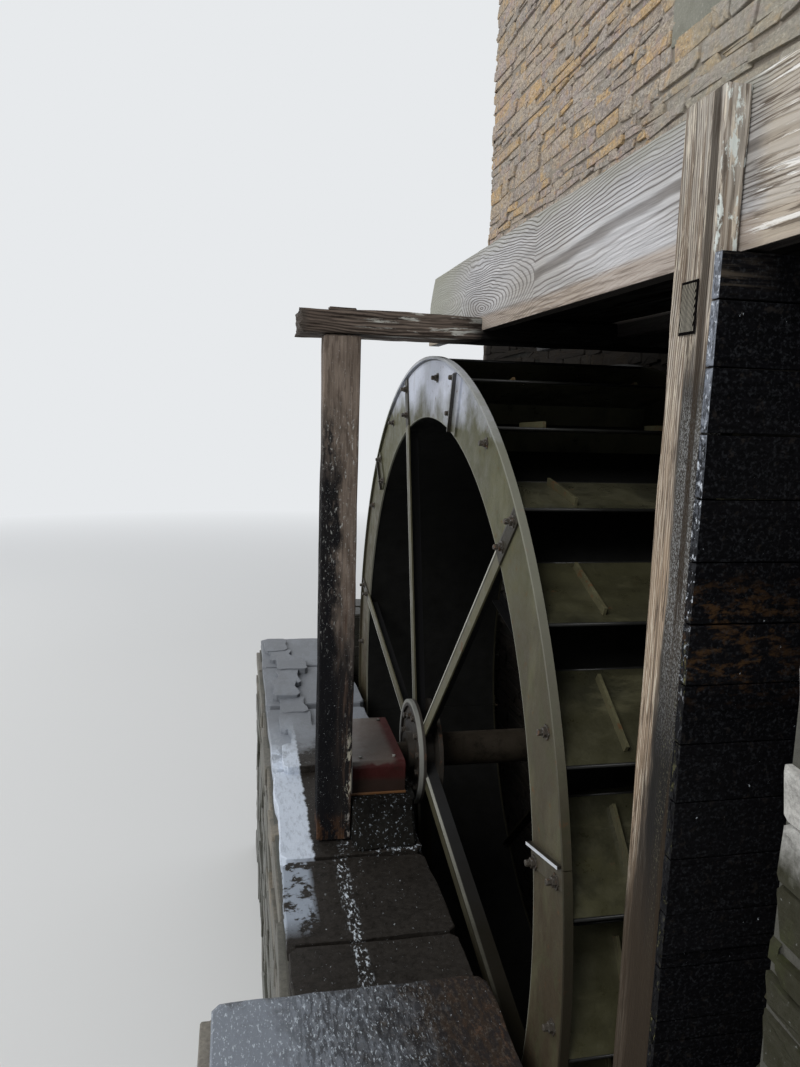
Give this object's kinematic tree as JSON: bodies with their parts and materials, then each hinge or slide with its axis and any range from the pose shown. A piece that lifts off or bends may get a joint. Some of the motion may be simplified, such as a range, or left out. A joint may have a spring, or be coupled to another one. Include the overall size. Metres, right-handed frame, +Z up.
{
  "type": "watermill",
  "caption": "Stone watermill with an iron overshot wheel in a walled pit, a timber launder on posts, and a gabled building.",
  "frame": {"origin": "in the foot of the wheel's gable, half way through the wall, straight below the axle", "axes": "+X from the wheel into the mill along the axle, +Y along the wheel's wall, +Z up"},
  "size_m": [8.275, 5.93, 8.5673],
  "materials": {
    "wall_rubble": "split flagstone rubble with lime mortar, weathered",
    "pit_rubble": "damp rubble with algae",
    "flagstone": "wet, dark and uneven",
    "dressed_stone": "sawn and weathered",
    "roof_stone": "split stone slates",
    "mortar": "rough damp mortar",
    "galvanised_steel": "dull, stained with algae and rust",
    "stained_steel": "wet, olive and brown with algae",
    "dark_iron": "rusted and greasy",
    "red_paint": "old red paint under algae",
    "grey_timber": "weathered, open grain",
    "brown_timber": "damp, partly rotten",
    "wet_timber": "soaked and black",
    "floor_timber": "worn boards",
    "white_paint": "painted, weathered",
    "green_paint": "painted, weathered",
    "glass": "clear"
  },
  "bodies": {
    "mill": {"bearing_box": "red_paint", "wall_bearing": "dark_iron", "bearing_plinth": "mortar", "outer_pit_wall": "pit_rubble", "platform_slabs": "flagstone", "pit_end_wall": "pit_rubble", "near_pier": "pit_rubble", "outer_post": "brown_timber", "cross_beam": "brown_timber", "launder_posts": "brown_timber", "launder_beams": "brown_timber", "wall_batten": "wet_timber", "splash_boards": "wet_timber", "launder_outer_board": "grey_timber", "launder_inner_board": "grey_timber", "launder_floor": "grey_timber", "launder_ties": "grey_timber", "wheel_gable": "wall_rubble", "far_gable": "wall_rubble", "near_side_wall": "wall_rubble", "far_side_wall": "wall_rubble", "stone_lintels": "dressed_stone", "window_sills": "dressed_stone", "window_frames": "white_paint", "window_glass": "glass", "door_frame": "green_paint", "door_leaf": "green_paint", "roof_slope_near": "roof_stone", "roof_slope_far": "roof_stone", "roof_ridge": "dressed_stone", "gable_skews": "dressed_stone", "ground_floor": "flagstone", "upper_floor": "floor_timber"},
    "wheel": {"axle": "dark_iron", "outer_hub": "dark_iron", "inner_hub": "dark_iron", "outer_spokes": "stained_steel", "inner_spokes": "stained_steel", "outer_ring": "galvanised_steel", "inner_ring": "galvanised_steel", "splice_straps": "galvanised_steel", "wheel_sole": "stained_steel", "bucket_risers": "stained_steel", "bucket_faces": "stained_steel", "bucket_ribs": "stained_steel"}
  },
  "joints": [
    {"name": "wheel_spin", "type": "hinge", "parent": "mill", "child": "wheel", "pos_m": [-0.9, 0, 1.65], "axis": [1, 0, 0], "continuous": true}
  ]
}
